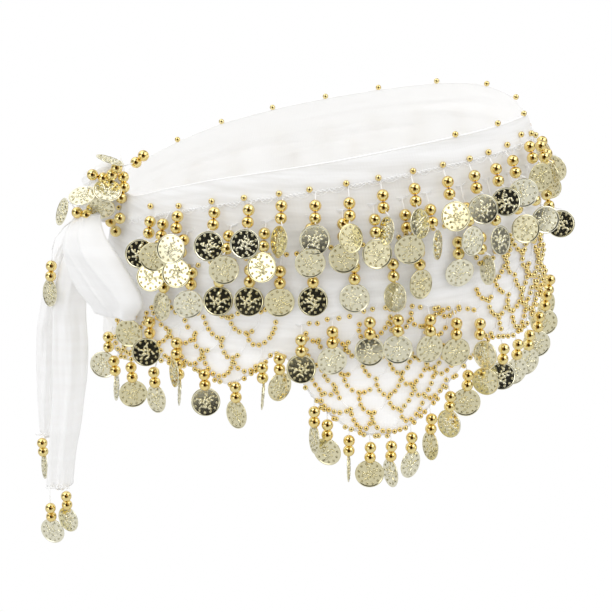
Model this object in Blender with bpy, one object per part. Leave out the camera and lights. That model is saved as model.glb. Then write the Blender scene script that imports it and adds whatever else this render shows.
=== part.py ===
"""Hip scarf for belly dance: a flared ring of thin white cloth with a tongued hem, tied at one side in a
knot with a loop and two tails, crocheted nets over the tongues, and rows of beads and coins on threads.

Frame: metres, +Z up, origin in the middle of the waist opening, +Y to the back, the knot at -X.
A place on the cloth is given by its angle round the waist in degrees (270 is the front, 180 the knot) and
its drop below the rim in millimetres.
"""
import math
import random

import bmesh
import bpy
from mathutils import Vector

MM = 0.001

# Driving sizes of the cloth ring, in millimetres.
WAIST_HALF_WIDTH = 146.0
WAIST_HALF_DEPTH = 102.0
FLARE_WIDTH = 21.0
FLARE_DEPTH = 22.0
FLARE_REACH = 55.0
CLOTH = 1.2
SEAM_GAP = 0.4
TAPE_GAP = 0.6

# Driving sizes of the trimmings, in millimetres.
BEAD = 7.6
BEAD_PITCH = 7.6
COIN = 20.0
COIN_THICK = 1.0
THREAD = 1.6
TAPE_HEIGHT = 2.4
TAPE_THICK = 1.1
NET_THICK = 0.9
NET_HOLE_SHARE = 0.72
NET_WAVE = 1.6
NET_LEAST_DEPTH = 22.0

WALL_COLUMNS = 80
WALL_ROWS = 7

# How high the rim runs at each angle: it dips to the knot.
RIM = (  # angle, height
    (0, 11), (20, 18), (40, 20), (60, 14), (90, 0), (120, -15), (150, -31), (180, -37),
    (205, -38), (225, -25), (245, -12), (270, 0), (295, 10), (320, 15), (340, 16),
)

# The tongued hem: the cloth's length below the rim at each angle.
HEM = (  # angle, length
    (0, 118), (14, 140), (30, 128), (45, 116), (58, 134), (72, 148), (85, 130), (98, 146), (112, 168),
    (126, 148), (140, 120), (155, 134), (170, 128), (185, 112), (200, 112), (215, 119), (230, 122),
    (240, 130), (247, 141), (254, 133), (260, 122), (268, 158), (276, 183), (284, 193), (292, 189),
    (299, 172), (306, 155), (313, 143), (321, 146), (330, 144), (340, 128), (350, 114),
)

# Soft drag folds pressed out of the wall.
FOLDS = (  # angle, drop, half span in degrees, half height, depth
    (214, 30, 26, 16, -2.2),
    (236, 6, 34, 14, 1.8),
    (292, 30, 26, 15, -1.6),
    (278, 88, 22, 14, 1.8),
    (330, 60, 20, 18, -1.8),
    (70, 40, 30, 18, 2.0),
    (110, 62, 26, 18, -1.8),
    (150, 24, 24, 16, 2.0),
)

# The strands. Each row hangs from a tape; a drop is the height of the upper bead, a turn is the coin's.
WAIST_ROW = (  # angle, drop, turn
    (222, 20, -34), (227, 24, -30), (232, 19, -26), (243, 21, 10), (252, 22, -8), (260, 22, 52),
    (268, 24, 6), (276, 26, -24), (284, 25, 76), (292, 25, -54), (301, 26, 50), (309, 26, 12),
    (317, 25, -20), (325, 22, 24), (334, 16, 58), (343, 20, -40), (352, 27, 10),
)
SECOND_ROW = (
    (229, 37, -12), (237, 37, -10), (247, 39, 8), (256, 40, -14), (267, 40, 5), (275, 40, -20), (283, 41, -20),
    (291, 42, 10), (296, 41, 78), (308, 46, -28), (317, 50, 52), (327, 48, 20), (338, 47, -44),
    (349, 52, 36),
)
THIRD_ROW = (
    (229, 60, 20), (238, 62, -34), (246, 63, 6), (254, 63, 18), (262, 65, -10), (270, 67, 14), (277, 68, 12),
    (287, 71, 42), (292.5, 68, -38), (303, 67, 8), (312, 68, 66),
)
ARCH_ROW = (
    (264.5, 110, 16), (272, 109, -8), (281.5, 107, 12), (288, 109, 34), (295, 114, -30), (302, 121, 8),
    (309, 126, 74),
)
HEM_ROW = (  # angle, drop below the hem's own line, turn
    (208, 7, 40), (217, 7, -52), (226, 7, 10), (234, 7, 55), (241, 7, -12), (248, 7, 30), (255, 7, 78),
    (259, 7, -48), (268, 7, 70), (271, 7, 24), (276, 7, -80), (281, 7, 10), (286, 7, 74), (291, 7, -30),
    (296, 7, 82), (301, 7, 66), (306, 7, 22), (312, 7, 60), (318, 7, 24), (324, 7, 18), (330, 7, 26),
    (336, 7, 56), (343, 7, 64), (350, 7, 30),
)
ARCH = (  # angle, drop of the arched tape
    (262, 104), (272, 101), (280, 99), (288, 101), (295, 106), (302, 112), (312, 118),
)

# The rows round the back, spaced by rule.
BACK_ROWS = (  # name, first angle, last angle, count, drop, tape drop
    ("waist_strands_back", 4, 158, 12, 24, 14),
    ("second_strands_back", 10, 150, 9, 44, 32),
    ("third_strands_back", 16, 142, 8, 68, 56),
)
BACK_HEM_COUNT = 15

# The crocheted nets over the tongues.
NETS = (  # name, first angle, last angle, holes across, holes down, top drop, hem margin
    ("net_left", 223, 259, 6, 3, 78, 6),
    ("net_centre", 266, 304, 7, 4, 108, 6),
    ("net_right", 309, 345, 7, 5, 74, 6),
    ("net_back_right", 2, 36, 5, 3, 78, 6),
    ("net_back", 56, 84, 4, 3, 84, 6),
    ("net_back_left", 98, 130, 5, 3, 92, 6),
)

KNOT_ANGLE = 190.0
KNOT_DROP = 6.0

WHITE_CLOTH = ((0.90, 0.90, 0.91), 0.75, 0.0)
WHITE_THREAD = ((0.88, 0.88, 0.87), 0.8, 0.0)
GOLD = ((0.86, 0.66, 0.25), 0.18, 1.0)


def clear_scene():
    for item in list(bpy.data.objects):
        bpy.data.objects.remove(item, do_unlink=True)


def finish_of(name, look):
    """A Principled material of one colour, roughness and metallic value."""
    material = bpy.data.materials.new(name)
    material.use_nodes = True
    shader = material.node_tree.nodes["Principled BSDF"]
    shader.inputs["Base Color"].default_value = (*look[0], 1.0)
    shader.inputs["Roughness"].default_value = look[1]
    shader.inputs["Metallic"].default_value = look[2]
    return material


def around(table, angle):
    """A smooth periodic curve through the rows (angle, value) of a table."""
    angle = angle % 360.0
    count = len(table)
    at = max(i for i in range(count) if table[i][0] <= angle)
    stops = []
    for step in (-1, 0, 1, 2):
        turns, row = divmod(at + step, count)
        stops.append((table[row][0] + 360.0 * turns, table[row][1]))
    (a0, v0), (a1, v1), (a2, v2), (a3, v3) = stops
    span = a2 - a1
    t = (angle - a1) / span
    start = (v2 - v0) / (a2 - a0) * span
    end = (v3 - v1) / (a3 - a1) * span
    rise = t * t * (3.0 - 2.0 * t)
    return v1 + (v2 - v1) * rise + start * t * (1.0 - t) ** 2 - end * t * t * (1.0 - t)


def along(table, place):
    """Straight lines through the rows (place, value) of an open table."""
    for (p0, v0), (p1, v1) in zip(table, table[1:]):
        if place <= p1:
            return v0 + (v1 - v0) * (place - p0) / (p1 - p0)
    return table[-1][1]


def fold_depth(angle, drop):
    depth = 0.0
    for middle, level, span, height, size in FOLDS:
        across = ((angle - middle + 180.0) % 360.0 - 180.0) / span
        down = (drop - level) / height
        depth += size * math.exp(-across * across - down * down)
    return depth


def wall_frame(angle):
    """Unit vectors along the wall and out of it, both level."""
    turn = math.radians(angle)
    out = Vector((math.cos(turn) / WAIST_HALF_WIDTH, math.sin(turn) / WAIST_HALF_DEPTH, 0.0)).normalized()
    return Vector((-out.y, out.x, 0.0)), out


def shaped_point(angle, drop, out=0.0):
    """The point of the cloth's true curved form at an angle and drop, moved out by some millimetres."""
    turn = math.radians(angle)
    flare = 1.0 - math.exp(-drop / FLARE_REACH)
    half_width = WAIST_HALF_WIDTH + FLARE_WIDTH * flare
    half_depth = WAIST_HALF_DEPTH + FLARE_DEPTH * flare
    height = around(RIM, angle) - drop
    place = Vector((half_width * math.cos(turn), half_depth * math.sin(turn), height))
    return place + wall_frame(angle)[1] * (out + fold_depth(angle, drop))


COLUMN_STEP = 360.0 / WALL_COLUMNS
COLUMN_HEMS = [around(HEM, c * COLUMN_STEP) for c in range(WALL_COLUMNS)]
CLOTH_POINTS = [
    [shaped_point(c * COLUMN_STEP, COLUMN_HEMS[c] * r / WALL_ROWS) for c in range(WALL_COLUMNS)]
    for r in range(WALL_ROWS + 1)
]


def hem_drop(angle):
    """The length of the cloth at an angle, straight between the columns of its grid."""
    column, part = divmod(angle % 360.0 / COLUMN_STEP, 1.0)
    first = COLUMN_HEMS[int(column)]
    second = COLUMN_HEMS[(int(column) + 1) % WALL_COLUMNS]
    return first + (second - first) * part


def on_cloth(angle, drop, out=0.0):
    """A point on the cloth's own facets, moved out; past the rim or the hem it goes straight up or down."""
    column, part = divmod(angle % 360.0 / COLUMN_STEP, 1.0)
    first = int(column)
    second = (first + 1) % WALL_COLUMNS
    length = hem_drop(angle)
    held = min(max(drop, 0.0), length)
    row, share = divmod(held / length * WALL_ROWS, 1.0)
    upper = min(int(row), WALL_ROWS - 1)
    share = share if row < WALL_ROWS else 1.0
    top = CLOTH_POINTS[upper][first].lerp(CLOTH_POINTS[upper][second], part)
    low = CLOTH_POINTS[upper + 1][first].lerp(CLOTH_POINTS[upper + 1][second], part)
    place = top.lerp(low, share) + Vector((0.0, 0.0, held - drop))
    return (place + wall_frame(angle)[1] * out) * MM


def add_piece(name, mesh_builder, look):
    """Turns a bmesh into a named object with its own material."""
    bmesh.ops.recalc_face_normals(mesh_builder, faces=mesh_builder.faces)
    mesh = bpy.data.meshes.new(name)
    mesh_builder.to_mesh(mesh)
    mesh_builder.free()
    mesh.shade_smooth()
    mesh.set_sharp_from_angle(angle=math.radians(40.0))
    mesh.materials.append(finish_of(name + "_finish", look))
    piece = bpy.data.objects.new(name, mesh)
    bpy.context.scene.collection.objects.link(piece)
    return piece


def shell_of_grids(name, outer, inner, look, holes=(), ring=False):
    """Closes two equal grids of points, outer and inner, into one wall; holes are cells left out."""
    builder = bmesh.new()
    rows = len(outer)
    columns = len(outer[0])
    face_columns = columns if ring else columns - 1
    grids = []
    for points in (outer, inner):
        grids.append([[builder.verts.new(p) for p in row] for row in points])
    cells = {(r, c) for r in range(rows - 1) for c in range(face_columns)} - set(holes)
    for r, c in sorted(cells):
        d = (c + 1) % columns
        for layer in grids:
            builder.faces.new((layer[r][c], layer[r][d], layer[r + 1][d], layer[r + 1][c]))
        edges = (
            ((r - 1, c), (r, c), (r, d)),
            ((r + 1, c), (r + 1, c), (r + 1, d)),
            ((r, (c - 1) % columns if ring else c - 1), (r, c), (r + 1, c)),
            ((r, d if ring else c + 1), (r, d), (r + 1, d)),
        )
        for neighbour, first, second in edges:
            if neighbour not in cells:
                builder.faces.new((
                    grids[0][first[0]][first[1]], grids[0][second[0]][second[1]],
                    grids[1][second[0]][second[1]], grids[1][first[0]][first[1]],
                ))
    return add_piece(name, builder, look)


def make_cloth():
    """The scarf's cloth, worn as a ring: rim to tongued hem, one thin wall all round."""
    outer = [[point * MM for point in row] for row in CLOTH_POINTS]
    inner = [
        [(row[c] - wall_frame(c * COLUMN_STEP)[1] * CLOTH) * MM for c in range(WALL_COLUMNS)]
        for row in CLOTH_POINTS
    ]
    shell_of_grids("cloth_wrap", outer, inner, WHITE_CLOTH, ring=True)


def net_line(line, holes):
    """Where a grid line lies, from 0 to 1, when narrow cords alternate with wide holes."""
    cord_share = 1.0 - NET_HOLE_SHARE
    return (line // 2 + (line % 2) * cord_share) / (holes + cord_share)


def make_net(name, first, last, across, down, top, margin):
    """A crocheted net on the cloth: waved cords between open holes."""
    columns = 2 * across + 1
    rows = 2 * down + 1
    layers = []
    for out in (SEAM_GAP, SEAM_GAP + NET_THICK):
        grid = []
        for r in range(rows + 1):
            row = []
            for c in range(columns + 1):
                place = net_line(c, across)
                level = net_line(r, down)
                angle = first + (last - first) * place
                bottom = hem_drop(angle) - margin
                wave = NET_WAVE * math.sin(math.pi * c / 2.0) * math.sin(math.pi * level)
                start = min(top, bottom - NET_LEAST_DEPTH)
                row.append(on_cloth(angle, start + (bottom - start) * level + wave, out))
            grid.append(row)
        layers.append(grid)
    holes = {(2 * r + 1, 2 * c + 1) for r in range(down) for c in range(across)}
    shell_of_grids(name, layers[1], layers[0], WHITE_THREAD, holes=holes)


def ring_corners(middle, wide, deep, half_wide, half_deep):
    return [
        middle - wide * half_wide - deep * half_deep,
        middle + wide * half_wide - deep * half_deep,
        middle + wide * half_wide + deep * half_deep,
        middle - wide * half_wide + deep * half_deep,
    ]


def hang_strand(builder, root, surface, frame, place, drop, turn, outs):
    """One strand grown from a root quad: thread, two beads and a coin, all four sided."""
    along_wall, outward = frame
    swing = math.radians(turn)
    wide = along_wall * math.cos(swing) + outward * math.sin(swing)
    deep = outward * math.cos(swing) - along_wall * math.sin(swing)
    first_out, second_out, coin_out, coin_swing = outs
    coin_out += coin_swing * abs(math.sin(swing))
    coin_top = drop + BEAD_PITCH + BEAD / 2.0 + 0.3
    bead_half = BEAD * 0.43
    half_coin = COIN / 2.0
    flat_half = half_coin * 0.41
    stations = [
        (drop, first_out, bead_half, bead_half),
        (drop + BEAD_PITCH / 2.0, (first_out + second_out) / 2.0, THREAD / 2.0, THREAD / 2.0),
        (drop + BEAD_PITCH, second_out, bead_half, bead_half),
        (coin_top, second_out * 0.6 + coin_out * 0.4, flat_half, COIN_THICK / 2.0),
        (coin_top + half_coin - flat_half, coin_out, half_coin, COIN_THICK / 2.0),
        (coin_top + half_coin + flat_half, coin_out, half_coin, COIN_THICK / 2.0),
        (coin_top + COIN, coin_out, flat_half, COIN_THICK / 2.0),
    ]
    shift = round(turn / 90.0) % 4
    upper = [root[(k + shift) % 4] for k in range(4)]
    for level, out, half_wide, half_deep in stations:
        middle = surface(place, level) + outward * out * MM
        ring = [builder.verts.new(p) for p in
                ring_corners(middle, wide, deep, half_wide * MM, half_deep * MM)]
        for k in range(4):
            builder.faces.new((upper[k], upper[(k + 1) % 4], ring[(k + 1) % 4], ring[k]))
        upper = ring
    builder.faces.new(upper)


def make_fringe(name, surface, frame_at, per_degree, strands, tape_drop, outs, gap=TAPE_GAP, step=6.4):
    """A narrow tape that follows a line on the cloth, with its strands, fused as one piece."""
    builder = bmesh.new()
    half_root = THREAD / 2.0 / per_degree
    stops = [(strands[0][0] - 3.0 * half_root, None)]
    hanging = None
    for strand in strands:
        start, end = strand[0] - half_root, strand[0] + half_root
        parts = max(1, math.ceil((start - stops[-1][0]) / step))
        before = stops[-1][0]
        for k in range(1, parts):
            stops.append((before + (start - before) * k / parts, None))
        stops.append((start, strand))
        stops.append((end, None))
    stops.append((strands[-1][0] + 3.0 * half_root, None))
    previous = None
    for place, strand in stops:
        outward = frame_at(place)[1]
        middle = tape_drop(place)
        section = [
            builder.verts.new(surface(place, middle + side * TAPE_HEIGHT / 2.0) + outward * out * MM)
            for side, out in ((1, gap), (1, gap + TAPE_THICK), (-1, gap + TAPE_THICK), (-1, gap))
        ]
        if previous is None:
            builder.faces.new(section)
        else:
            for k in range(4):
                if k == 0 and hanging:
                    root = (previous[0], section[0], section[1], previous[1])
                    place_of, drop, turn = hanging
                    hang_strand(builder, root, surface, frame_at(place_of), place_of, drop, turn, outs)
                else:
                    builder.faces.new((previous[k], previous[(k + 1) % 4],
                                       section[(k + 1) % 4], section[k]))
        previous = section
        hanging = strand
    builder.faces.new(previous)
    add_piece(name, builder, GOLD)


WALL_PER_DEGREE = 2.5
# How far out from the cloth a strand hangs: upper bead, lower bead, coin, and more for a coin turned aside.
WAIST_OUTS = (8.6, 13.0, 18.0, 5.0)
SECOND_OUTS = (6.2, 8.0, 12.2, 5.0)
THIRD_OUTS = (5.8, 5.8, 4.4, 8.0)
ARCH_OUTS = (6.4, 6.4, 5.0, 8.0)
HEM_OUTS = (5.2, 4.6, 3.6, 1.0)
ARCH_GAP = 2.0 * SEAM_GAP + NET_THICK


def hem_strands(rows):
    return [(angle, hem_drop(angle) + extra, turn) for angle, extra, turn in rows]


def make_front_strands():
    rows = (
        ("waist_strands", WAIST_ROW, lambda angle: 13.0, WAIST_OUTS, TAPE_GAP),
        ("second_strands", SECOND_ROW, lambda angle: 31.5, SECOND_OUTS, TAPE_GAP),
        ("third_strands", THIRD_ROW, lambda angle: 54.0, THIRD_OUTS, TAPE_GAP),
        ("arch_strands", ARCH_ROW, lambda angle: along(ARCH, angle), ARCH_OUTS, ARCH_GAP),
        ("hem_strands", hem_strands(HEM_ROW), lambda angle: hem_drop(angle) - 2.5, HEM_OUTS, TAPE_GAP),
    )
    for name, strands, tape_drop, outs, gap in rows:
        make_fringe(name, on_cloth, wall_frame, WALL_PER_DEGREE, strands, tape_drop, outs, gap)


def make_back_strands():
    """The same rows round the back, with coins turned at random."""
    turns = random.Random(7)
    outs = {"waist": WAIST_OUTS, "second": SECOND_OUTS, "third": THIRD_OUTS}
    for name, first, last, count, drop, tape in BACK_ROWS:
        pitch = (last - first) / (count - 1)
        strands = [(first + pitch * k, drop + turns.uniform(-1.5, 1.5), turns.uniform(-60.0, 60.0))
                   for k in range(count)]
        make_fringe(name, on_cloth, wall_frame, WALL_PER_DEGREE, strands, lambda angle: tape,
                    outs[name.split("_")[0]])
    pitch = 150.0 / (BACK_HEM_COUNT - 1)
    strands = [(4.0 + pitch * k, 7.0, turns.uniform(-70.0, 70.0)) for k in range(BACK_HEM_COUNT)]
    make_fringe("hem_strands_back", on_cloth, wall_frame, WALL_PER_DEGREE, hem_strands(strands),
                lambda angle: hem_drop(angle) - 2.5, HEM_OUTS)


KNOT_HALF_ANGLE = 8.5
KNOT_RISE = 36.0
KNOT_FALL = 20.0
KNOT_BASE = 1.6
KNOT_DOME = 28.0
KNOT_WRAP = 1.6


def knot_reach(drop):
    return KNOT_FALL if drop > KNOT_DROP else KNOT_RISE


def knot_height(angle, drop):
    """How far the knot stands out from the cloth: a rounded lump with the band's wraps across it."""
    u = min(1.0, abs(angle - KNOT_ANGLE) / KNOT_HALF_ANGLE)
    v = min(1.0, abs(drop - KNOT_DROP) / knot_reach(drop))
    dome = math.sqrt((1.0 - u * u) * (1.0 - v * v))
    wrap = math.sin(0.55 * (angle - KNOT_ANGLE) + 0.35 * (drop - KNOT_DROP))
    return KNOT_BASE + (KNOT_DOME + KNOT_WRAP * wrap) * dome


def make_knot():
    """The knot of the tied ends: a rounded lump against the wall with the cloth wrapped across it."""
    cells = 8
    layers = [[], []]
    for r in range(cells + 1):
        sweep = math.sin(math.pi * (r / cells - 0.5))
        drop = KNOT_DROP + (KNOT_FALL if sweep > 0.0 else KNOT_RISE) * sweep
        angles = [KNOT_ANGLE + KNOT_HALF_ANGLE * math.sin(math.pi * (c / cells - 0.5))
                  for c in range(cells + 1)]
        layers[0].append([on_cloth(angle, drop, knot_height(angle, drop)) for angle in angles])
        layers[1].append([on_cloth(angle, drop, SEAM_GAP) for angle in angles])
    shell_of_grids("knot", layers[0], layers[1], WHITE_CLOTH)


# The loop of the bow: one band that goes down at the front, turns, and comes back up behind.
LOOP = (  # height, middle x, half width, middle y of the front layer, distance to the back layer
    (-50.7, -165, 8, -41.7, 3),
    (-60, -169, 14, -58, 8),
    (-71, -168, 20, -65, 11),
    (-84, -161, 23.5, -71, 13),
    (-97, -154, 25, -76, 14),
    (-107, -149, 21, -78, 12),
    (-113, -148, 14, -77, 9),
)
LOOP_CLOTH = 1.8
LOOP_CROWN = 4.0
LOOP_TURN = 30.0


def make_loop():
    """The bow's loop: wide in the middle, crowned across, folded at its tip."""
    turn = math.radians(-LOOP_TURN)
    across = Vector((math.cos(turn), math.sin(turn), 0.0))
    away = Vector((math.sin(turn), -math.cos(turn), 0.0)) * -1.0
    cells = 6
    faces = [[], []]
    stations = [(row, 0.0) for row in LOOP] + [(row, 1.0) for row in reversed(LOOP)]
    tip = LOOP[-1][0]
    for (height, middle, half, front, apart), behind in stations:
        rows = [[], []]
        for c in range(cells + 1):
            u = 2.0 * c / cells - 1.0
            crown = LOOP_CROWN * (1.0 - u * u) * (1.0 if behind < 0.5 else -0.6)
            crease = 0.8 * math.sin(4.5 * u + height * 0.05)
            centre = Vector((middle, front, height)) + across * (half * u)
            spread = apart * behind - crown * min(1.0, apart / 12.0) + crease * (1.0 - behind)
            side = -1.0 if behind < 0.5 else 1.0
            rows[0].append((centre + away * (spread + side * LOOP_CLOTH / 2.0)) * MM)
            lift = Vector((0.0, 0.0, LOOP_CLOTH if height == tip else 0.0))
            rows[1].append((centre + lift + away * (spread - side * LOOP_CLOTH / 2.0)) * MM)
        faces[0].append(rows[0])
        faces[1].append(rows[1])
    shell_of_grids("bow_loop", faces[0], faces[1], WHITE_CLOTH)


# The two tails: bands gathered lengthwise, hanging from the knot.
TAILS = (  # name, phase of the pleats, rows of (height, middle x, middle y, half width)
    ("tail_front", 0.4, (
        (-62.7, -168, -31, 8), (-90, -176, -39, 11), (-120, -183, -41, 12), (-150, -184, -41, 12.5),
        (-180, -186, -41, 12.5), (-210, -190, -41, 11), (-240, -195, -41, 10), (-268, -199, -41, 9.5),
    )),
    ("tail_back", 2.1, (
        (-61.6, -172, -21, 6), (-90, -187, -13, 9), (-120, -197, -11, 9.5), (-150, -204, -11, 10),
        (-180, -206, -11, 10), (-210, -208.5, -11, 9), (-238, -210, -11, 7),
    )),
)
TAIL_CLOTH = 2.4
TAIL_PLEAT = 2.2


def tail_point(rows, phase, height, across, out):
    """A point of a tail's pleated band: across runs from -1 to 1, out is half the cloth, plus or minus."""
    middle = along([(-row[0], row[1]) for row in rows], -height)
    depth = along([(-row[0], row[2]) for row in rows], -height)
    half = along([(-row[0], row[3]) for row in rows], -height)
    pleat = TAIL_PLEAT * math.sin(across * 4.6 + phase + height * 0.012)
    return Vector((middle + half * across, depth + pleat + out, height)) * MM


def make_tails():
    cells = 7
    levels = 11
    for name, phase, rows in TAILS:
        top, bottom = rows[0][0], rows[-1][0]
        layers = []
        for out in (-TAIL_CLOTH / 2.0, TAIL_CLOTH / 2.0):
            layers.append([
                [tail_point(rows, phase, top + (bottom - top) * r / levels, 2.0 * c / cells - 1.0, out)
                 for c in range(cells + 1)]
                for r in range(levels + 1)
            ])
        shell_of_grids(name, layers[0], layers[1], WHITE_CLOTH)


def make_tassels():
    """Strands on a short tape in front of each tail's end."""
    tassels = (  # name, tail's row in TAILS, strands of (place across in mm, drop, turn)
        ("tassel_front", 0, ((-6.0, 14, 20), (6.5, 4, 34))),
        ("tassel_back", 1, ((-4.0, 4, 68),)),
    )
    for name, which, strands in tassels:
        rows = TAILS[which][2]
        height, middle, depth, _ = rows[-1]
        face = depth - TAIL_CLOTH / 2.0 - TAIL_PLEAT

        def surface(place, drop):
            return Vector((middle + place, face, height - drop)) * MM

        def frame_at(place):
            return Vector((1.0, 0.0, 0.0)), Vector((0.0, -1.0, 0.0))

        make_fringe(name, surface, frame_at, 1.0, list(strands), lambda place: -2.0, (3.0, 2.0, 1.0, 0.0),
                    step=20.0)


KNOT_FACE = -35.0
KNOT_LINE = -12.5


def make_knot_strands():
    """Strands from a tape across the knot's front near its top, whose coins cover its face."""
    strands = (  # place across, drop of the upper bead below the tape, turn of the coin
        (-176.5, 5.5, 44), (-166.0, 3.8, 40), (-156.0, 4.6, 38), (-146.0, 3.6, 46),
    )

    def surface(place, drop):
        return Vector((place, KNOT_FACE, KNOT_LINE - drop)) * MM

    def frame_at(place):
        return Vector((1.0, 0.0, 0.0)), Vector((0.0, -1.0, 0.0))

    make_fringe("knot_strands", surface, frame_at, 1.0, strands, lambda place: 0.0, (5.4, 5.4, 4.0, 9.0),
                gap=0.4, step=6.0)


def main():
    clear_scene()
    make_cloth()
    for row in NETS:
        make_net(*row)
    make_front_strands()
    make_back_strands()
    make_knot()
    make_loop()
    make_tails()
    make_tassels()
    make_knot_strands()


main()
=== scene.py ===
import math
import random

import bpy
import numpy as np
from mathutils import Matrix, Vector


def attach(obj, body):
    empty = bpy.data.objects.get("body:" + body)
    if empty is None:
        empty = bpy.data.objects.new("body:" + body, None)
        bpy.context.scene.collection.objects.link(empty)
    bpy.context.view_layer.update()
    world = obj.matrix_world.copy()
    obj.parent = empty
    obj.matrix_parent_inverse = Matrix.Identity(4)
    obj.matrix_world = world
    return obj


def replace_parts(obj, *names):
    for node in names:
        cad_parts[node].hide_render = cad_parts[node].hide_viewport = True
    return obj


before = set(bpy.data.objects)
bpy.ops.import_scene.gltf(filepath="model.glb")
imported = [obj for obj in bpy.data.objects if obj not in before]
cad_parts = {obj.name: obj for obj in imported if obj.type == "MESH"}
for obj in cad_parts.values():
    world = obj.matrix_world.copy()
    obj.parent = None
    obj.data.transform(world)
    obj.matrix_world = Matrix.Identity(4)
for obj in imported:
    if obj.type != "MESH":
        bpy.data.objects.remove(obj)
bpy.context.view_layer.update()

# The view: from in front and a little above, aimed at the middle of the scarf, which hangs over a pale floor
# in a white room. The room's dark and bright patches, the darkest behind the camera, are for the gold to
# mirror.
CAMERA_PLACE = (-0.0115, -0.9835, 0.2216)
CAMERA_DOWN = math.radians(20.0)
CAMERA_LENS = 81.7
FLOOR_HEIGHT = -0.62
FLOOR_SIZE = 12.0
WHITE = (1.0, 1.0, 1.0, 1.0)
PAPER_GREY = (0.66, 0.66, 0.66, 1.0)


def join(made, inputs):
    """Gives each input of a shader node its value, or links it from another node's output."""
    for socket, value in inputs.items():
        if isinstance(value, bpy.types.NodeSocket):
            made.id_data.links.new(value, made.inputs[socket])
        else:
            made.inputs[socket].default_value = value
    return made


def add_node(tree, kind, inputs=None, **settings):
    made = tree.nodes.new(kind)
    for setting, value in settings.items():
        setattr(made, setting, value)
    return join(made, inputs or {})


lens = bpy.data.cameras.new("view")
lens.sensor_width = 36.0
lens.lens = CAMERA_LENS
lens.clip_start = 0.05
camera = bpy.data.objects.new("view", lens)
camera.location = CAMERA_PLACE
camera.rotation_euler = (math.pi / 2.0 - CAMERA_DOWN, 0.0, 0.0)
bpy.context.scene.collection.objects.link(camera)
bpy.context.scene.camera = camera
bpy.context.scene.view_settings.view_transform = "Standard"

bpy.ops.mesh.primitive_plane_add(size=FLOOR_SIZE, location=(0.0, 0.0, FLOOR_HEIGHT))
floor = bpy.context.object
floor.name = "floor"
paper = bpy.data.materials.new("white_paper")
paper.use_nodes = True
paper_tree = paper.node_tree
paper_tree.nodes.clear()
seen = add_node(paper_tree, "ShaderNodeEmission", {"Color": WHITE})
lit = add_node(paper_tree, "ShaderNodeBsdfDiffuse", {"Color": PAPER_GREY})
rays = add_node(paper_tree, "ShaderNodeLightPath")
either = add_node(paper_tree, "ShaderNodeMixShader", {
    "Fac": rays.outputs["Is Camera Ray"], 1: lit.outputs["BSDF"], 2: seen.outputs["Emission"],
})
add_node(paper_tree, "ShaderNodeOutputMaterial", {"Surface": either.outputs["Shader"]})
floor.data.materials.append(paper)

ROOM_LIGHT = 1.0
ROOM_LOW, ROOM_HIGH = (-0.5, 0.60), (0.9, 1.25)  # height of the direction, brightness that the gold mirrors
ROOM_PATCHES = (  # direction towards the patch, cosines of its soft edge and of its full strength, factor
    ((-0.01, -0.94, 0.33), 0.905, 0.925, 0.012), ((0.80, -0.60, 0.05), 0.970, 0.985, 0.10),
    ((-0.30, -0.60, -0.75), 0.950, 0.975, 0.15), ((0.95, 0.20, 0.20), 0.930, 0.960, 0.20),
    ((-0.97, 0.10, 0.22), 0.930, 0.960, 0.20), ((0.12, -0.30, 0.95), 0.930, 0.955, 0.15),
    ((-0.78, -0.35, 0.52), 0.950, 0.970, 0.18), ((0.60, -0.72, -0.35), 0.955, 0.975, 0.25),
    ((0.30, 0.60, 0.74), 0.900, 0.950, 0.30), ((-0.62, -0.78, 0.05), 0.965, 0.980, 2.4),
    ((0.45, -0.62, 0.64), 0.960, 0.980, 2.6),
)
world = bpy.data.worlds.new("room")
bpy.context.scene.world = world
world.use_nodes = True
room = world.node_tree
room.nodes.clear()
aim = add_node(room, "ShaderNodeTexCoord").outputs["Generated"]
aim_height = add_node(room, "ShaderNodeSeparateXYZ", {"Vector": aim}).outputs["Z"]
mirrored_light = add_node(room, "ShaderNodeMapRange", {
    "Value": aim_height, "From Min": ROOM_LOW[0], "From Max": ROOM_HIGH[0],
    "To Min": ROOM_LOW[1], "To Max": ROOM_HIGH[1],
}).outputs["Result"]
for patch, soft, full, factor in ROOM_PATCHES:
    dot = add_node(room, "ShaderNodeVectorMath", {0: aim, 1: Vector(patch).normalized()},
                   operation="DOT_PRODUCT")
    strength = add_node(room, "ShaderNodeMapRange", {
        "Value": dot.outputs["Value"], "From Min": soft, "From Max": full, "To Min": 1.0, "To Max": factor,
    }, interpolation_type="SMOOTHSTEP")
    mirrored_light = add_node(room, "ShaderNodeMath", {0: mirrored_light, 1: strength.outputs["Result"]},
                              operation="MULTIPLY").outputs["Value"]
rays = add_node(room, "ShaderNodeLightPath").outputs
shone = add_node(room, "ShaderNodeBackground", {"Color": WHITE, "Strength": ROOM_LIGHT})
mirrored = add_node(room, "ShaderNodeBackground", {"Color": mirrored_light})
seen = add_node(room, "ShaderNodeBackground", {"Color": WHITE})
unseen = add_node(room, "ShaderNodeMixShader", {
    "Fac": rays["Is Glossy Ray"], 1: shone.outputs["Background"], 2: mirrored.outputs["Background"],
})
either = add_node(room, "ShaderNodeMixShader", {
    "Fac": rays["Is Camera Ray"], 1: unseen.outputs["Shader"], 2: seen.outputs["Background"],
})
add_node(room, "ShaderNodeOutputWorld", {"Surface": either.outputs["Shader"]})

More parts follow.
